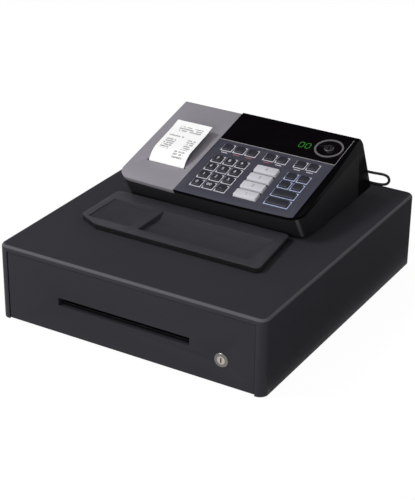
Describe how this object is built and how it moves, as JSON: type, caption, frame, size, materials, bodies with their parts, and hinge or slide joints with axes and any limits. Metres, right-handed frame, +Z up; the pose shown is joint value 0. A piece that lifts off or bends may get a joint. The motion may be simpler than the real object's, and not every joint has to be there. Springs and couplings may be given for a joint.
{
  "type": "cash register",
  "caption": "Electronic cash register with wedge housing, keyboard, receipt printer and clerk tray on a steel cash drawer cabinet.",
  "frame": {"origin": "on the surface under the feet, below the middle of the cabinet", "axes": "+Z up, the drawer opens towards -Y, +X to the operator's right"},
  "size_m": [0.41, 0.45, 0.2023],
  "materials": {
    "cabinet_paint": "fine texture paint, black",
    "zinc_steel": "zinc plated",
    "foot_rubber": "matt",
    "coil_metal": "lacquered winding",
    "drawer_paint": "fine texture paint, black",
    "front_plastic": "fine grain, black",
    "till_plastic": "fine grain, black",
    "lock_plate": "satin nickel",
    "case_plastic": "fine grain, black",
    "panel_plastic": "satin, blue grey",
    "lens_gloss": "gloss black",
    "ring_silver": "silver print",
    "dial_plastic": "satin grey",
    "platen_rubber": "ground rubber",
    "receipt_paper": "thermal paper",
    "cover_plastic": "fine grain, grey",
    "tray_plastic": "fine grain, black",
    "board_laminate": "solder mask",
    "cable_jacket": "matt",
    "clip_plastic": "satin black",
    "key_dark": "satin",
    "key_white": "satin white"
  },
  "bodies": {
    "housing": {"cabinet_shell": "cabinet_paint", "cabinet_base": "zinc_steel", "cabinet_feet": "foot_rubber", "cabinet_rails": "zinc_steel", "release_solenoid": "coil_metal", "register_base": "case_plastic", "register_case": "case_plastic", "keyboard_panel": "panel_plastic", "display_lens": "lens_gloss", "mode_ring": "ring_silver", "printer_frame": "zinc_steel", "clerk_tray": "tray_plastic", "circuit_board": "board_laminate", "cable_glands": "foot_rubber", "drawer_cable": "cable_jacket"},
    "drawer": {"drawer_box": "drawer_paint", "drawer_front": "front_plastic", "drawer_runners": "zinc_steel", "till_insert": "till_plastic", "lock_barrel": "lock_plate"},
    "lock_plug": {"lock_plug": "lock_plate"},
    "latch_lever": {"latch_lever": "zinc_steel"},
    "mode_dial": {"mode_dial": "dial_plastic"},
    "printer_cover": {"printer_cover": "cover_plastic", "receipt_strip": "receipt_paper"},
    "paper_roll": {"paper_roll": "receipt_paper"},
    "platen_roller": {"platen_roller": "platen_rubber"},
    "bill_clip_1": {"bill_clip_1": "clip_plastic"},
    "bill_clip_2": {"bill_clip_2": "clip_plastic"},
    "bill_clip_3": {"bill_clip_3": "clip_plastic"},
    "bill_clip_4": {"bill_clip_4": "clip_plastic"},
    "key_top_1": {"key_top_1": "key_dark"},
    "key_top_2": {"key_top_2": "key_dark"},
    "key_top_3": {"key_top_3": "key_dark"},
    "key_top_4": {"key_top_4": "key_dark"},
    "key_top_5": {"key_top_5": "key_dark"},
    "key_top_6": {"key_top_6": "key_dark"},
    "key_top_7": {"key_top_7": "key_dark"},
    "key_digit_1": {"key_digit_1": "key_dark"},
    "key_digit_2": {"key_digit_2": "key_dark"},
    "key_digit_3": {"key_digit_3": "key_dark"},
    "key_department_1": {"key_department_1": "key_white"},
    "key_digit_4": {"key_digit_4": "key_dark"},
    "key_digit_5": {"key_digit_5": "key_dark"},
    "key_digit_6": {"key_digit_6": "key_dark"},
    "key_department_2": {"key_department_2": "key_white"},
    "key_digit_7": {"key_digit_7": "key_dark"},
    "key_digit_8": {"key_digit_8": "key_dark"},
    "key_digit_9": {"key_digit_9": "key_dark"},
    "key_department_3": {"key_department_3": "key_white"},
    "key_digit_10": {"key_digit_10": "key_dark"},
    "key_digit_11": {"key_digit_11": "key_dark"},
    "key_digit_12": {"key_digit_12": "key_dark"},
    "key_department_4": {"key_department_4": "key_white"},
    "key_total": {"key_total": "key_dark"},
    "key_subtotal": {"key_subtotal": "key_dark"},
    "key_action_1": {"key_action_1": "key_dark"},
    "key_action_2": {"key_action_2": "key_dark"},
    "key_action_3": {"key_action_3": "key_dark"},
    "key_action_4": {"key_action_4": "key_dark"}
  },
  "joints": [
    {"name": "drawer_slide", "type": "slide", "parent": "housing", "child": "drawer", "axis": [0, -1, 0], "range_m": [0, 0.33]},
    {"name": "lock_turn", "type": "hinge", "parent": "drawer", "child": "lock_plug", "pos_m": [0.1425, -0.225, 0.04], "axis": [0, 1, 0], "range_deg": [0, 90]},
    {"name": "latch_turn", "type": "hinge", "parent": "housing", "child": "latch_lever", "pos_m": [0, 0.2095, 0.028], "axis": [0, 0, 1], "range_deg": [0, 10], "stiffness_Nm_per_rad": 0.05},
    {"name": "mode_turn", "type": "hinge", "parent": "housing", "child": "mode_dial", "pos_m": [0.107, 0.13424, 0.19321], "axis": [0, -0.245, 0.9695], "range_deg": [-60, 90]},
    {"name": "cover_hinge", "type": "hinge", "parent": "housing", "child": "printer_cover", "pos_m": [-0.094, 0.16639, 0.19618], "axis": [-1, 0, 0], "range_deg": [0, 80]},
    {"name": "paper_roll_spin", "type": "hinge", "parent": "housing", "child": "paper_roll", "pos_m": [-0.094, 0.118, 0.1494], "axis": [1, 0, 0], "continuous": true},
    {"name": "platen_spin", "type": "hinge", "parent": "housing", "child": "platen_roller", "pos_m": [-0.094, 0.03442, 0.15149], "axis": [1, 0, 0], "continuous": true},
    {"name": "bill_clip_1_lift", "type": "hinge", "parent": "drawer", "child": "bill_clip_1", "pos_m": [-0.13365, 0.1623, 0.0695], "axis": [-1, 0, 0], "range_deg": [0, 40], "stiffness_Nm_per_rad": 0.1},
    {"name": "bill_clip_2_lift", "type": "hinge", "parent": "drawer", "child": "bill_clip_2", "pos_m": [-0.04455, 0.1623, 0.0695], "axis": [-1, 0, 0], "range_deg": [0, 40], "stiffness_Nm_per_rad": 0.1},
    {"name": "bill_clip_3_lift", "type": "hinge", "parent": "drawer", "child": "bill_clip_3", "pos_m": [0.04455, 0.1623, 0.0695], "axis": [-1, 0, 0], "range_deg": [0, 40], "stiffness_Nm_per_rad": 0.1},
    {"name": "bill_clip_4_lift", "type": "hinge", "parent": "drawer", "child": "bill_clip_4", "pos_m": [0.13365, 0.1623, 0.0695], "axis": [-1, 0, 0], "range_deg": [0, 40], "stiffness_Nm_per_rad": 0.1},
    {"name": "key_top_1_press", "type": "slide", "parent": "housing", "child": "key_top_1", "axis": [0, 0.245, -0.9695], "range_m": [0, 0.003], "stiffness_N_per_m": 250},
    {"name": "key_top_2_press", "type": "slide", "parent": "housing", "child": "key_top_2", "axis": [0, 0.245, -0.9695], "range_m": [0, 0.003], "stiffness_N_per_m": 250},
    {"name": "key_top_3_press", "type": "slide", "parent": "housing", "child": "key_top_3", "axis": [0, 0.245, -0.9695], "range_m": [0, 0.003], "stiffness_N_per_m": 250},
    {"name": "key_top_4_press", "type": "slide", "parent": "housing", "child": "key_top_4", "axis": [0, 0.245, -0.9695], "range_m": [0, 0.003], "stiffness_N_per_m": 250},
    {"name": "key_top_5_press", "type": "slide", "parent": "housing", "child": "key_top_5", "axis": [0, 0.245, -0.9695], "range_m": [0, 0.003], "stiffness_N_per_m": 250},
    {"name": "key_top_6_press", "type": "slide", "parent": "housing", "child": "key_top_6", "axis": [0, 0.245, -0.9695], "range_m": [0, 0.003], "stiffness_N_per_m": 250},
    {"name": "key_top_7_press", "type": "slide", "parent": "housing", "child": "key_top_7", "axis": [0, 0.245, -0.9695], "range_m": [0, 0.003], "stiffness_N_per_m": 250},
    {"name": "key_digit_1_press", "type": "slide", "parent": "housing", "child": "key_digit_1", "axis": [0, 0.245, -0.9695], "range_m": [0, 0.003], "stiffness_N_per_m": 250},
    {"name": "key_digit_2_press", "type": "slide", "parent": "housing", "child": "key_digit_2", "axis": [0, 0.245, -0.9695], "range_m": [0, 0.003], "stiffness_N_per_m": 250},
    {"name": "key_digit_3_press", "type": "slide", "parent": "housing", "child": "key_digit_3", "axis": [0, 0.245, -0.9695], "range_m": [0, 0.003], "stiffness_N_per_m": 250},
    {"name": "key_department_1_press", "type": "slide", "parent": "housing", "child": "key_department_1", "axis": [0, 0.245, -0.9695], "range_m": [0, 0.003], "stiffness_N_per_m": 250},
    {"name": "key_digit_4_press", "type": "slide", "parent": "housing", "child": "key_digit_4", "axis": [0, 0.245, -0.9695], "range_m": [0, 0.003], "stiffness_N_per_m": 250},
    {"name": "key_digit_5_press", "type": "slide", "parent": "housing", "child": "key_digit_5", "axis": [0, 0.245, -0.9695], "range_m": [0, 0.003], "stiffness_N_per_m": 250},
    {"name": "key_digit_6_press", "type": "slide", "parent": "housing", "child": "key_digit_6", "axis": [0, 0.245, -0.9695], "range_m": [0, 0.003], "stiffness_N_per_m": 250},
    {"name": "key_department_2_press", "type": "slide", "parent": "housing", "child": "key_department_2", "axis": [0, 0.245, -0.9695], "range_m": [0, 0.003], "stiffness_N_per_m": 250},
    {"name": "key_digit_7_press", "type": "slide", "parent": "housing", "child": "key_digit_7", "axis": [0, 0.245, -0.9695], "range_m": [0, 0.003], "stiffness_N_per_m": 250},
    {"name": "key_digit_8_press", "type": "slide", "parent": "housing", "child": "key_digit_8", "axis": [0, 0.245, -0.9695], "range_m": [0, 0.003], "stiffness_N_per_m": 250},
    {"name": "key_digit_9_press", "type": "slide", "parent": "housing", "child": "key_digit_9", "axis": [0, 0.245, -0.9695], "range_m": [0, 0.003], "stiffness_N_per_m": 250},
    {"name": "key_department_3_press", "type": "slide", "parent": "housing", "child": "key_department_3", "axis": [0, 0.245, -0.9695], "range_m": [0, 0.003], "stiffness_N_per_m": 250},
    {"name": "key_digit_10_press", "type": "slide", "parent": "housing", "child": "key_digit_10", "axis": [0, 0.245, -0.9695], "range_m": [0, 0.003], "stiffness_N_per_m": 250},
    {"name": "key_digit_11_press", "type": "slide", "parent": "housing", "child": "key_digit_11", "axis": [0, 0.245, -0.9695], "range_m": [0, 0.003], "stiffness_N_per_m": 250},
    {"name": "key_digit_12_press", "type": "slide", "parent": "housing", "child": "key_digit_12", "axis": [0, 0.245, -0.9695], "range_m": [0, 0.003], "stiffness_N_per_m": 250},
    {"name": "key_department_4_press", "type": "slide", "parent": "housing", "child": "key_department_4", "axis": [0, 0.245, -0.9695], "range_m": [0, 0.003], "stiffness_N_per_m": 250},
    {"name": "key_total_press", "type": "slide", "parent": "housing", "child": "key_total", "axis": [0, 0.245, -0.9695], "range_m": [0, 0.003], "stiffness_N_per_m": 250},
    {"name": "key_subtotal_press", "type": "slide", "parent": "housing", "child": "key_subtotal", "axis": [0, 0.245, -0.9695], "range_m": [0, 0.003], "stiffness_N_per_m": 250},
    {"name": "key_action_1_press", "type": "slide", "parent": "housing", "child": "key_action_1", "axis": [0, 0.245, -0.9695], "range_m": [0, 0.003], "stiffness_N_per_m": 250},
    {"name": "key_action_2_press", "type": "slide", "parent": "housing", "child": "key_action_2", "axis": [0, 0.245, -0.9695], "range_m": [0, 0.003], "stiffness_N_per_m": 250},
    {"name": "key_action_3_press", "type": "slide", "parent": "housing", "child": "key_action_3", "axis": [0, 0.245, -0.9695], "range_m": [0, 0.003], "stiffness_N_per_m": 250},
    {"name": "key_action_4_press", "type": "slide", "parent": "housing", "child": "key_action_4", "axis": [0, 0.245, -0.9695], "range_m": [0, 0.003], "stiffness_N_per_m": 250}
  ],
  "couplings": [
    {"joint": "platen_spin", "follows": "paper_roll_spin", "ratio": -4.5}
  ]
}
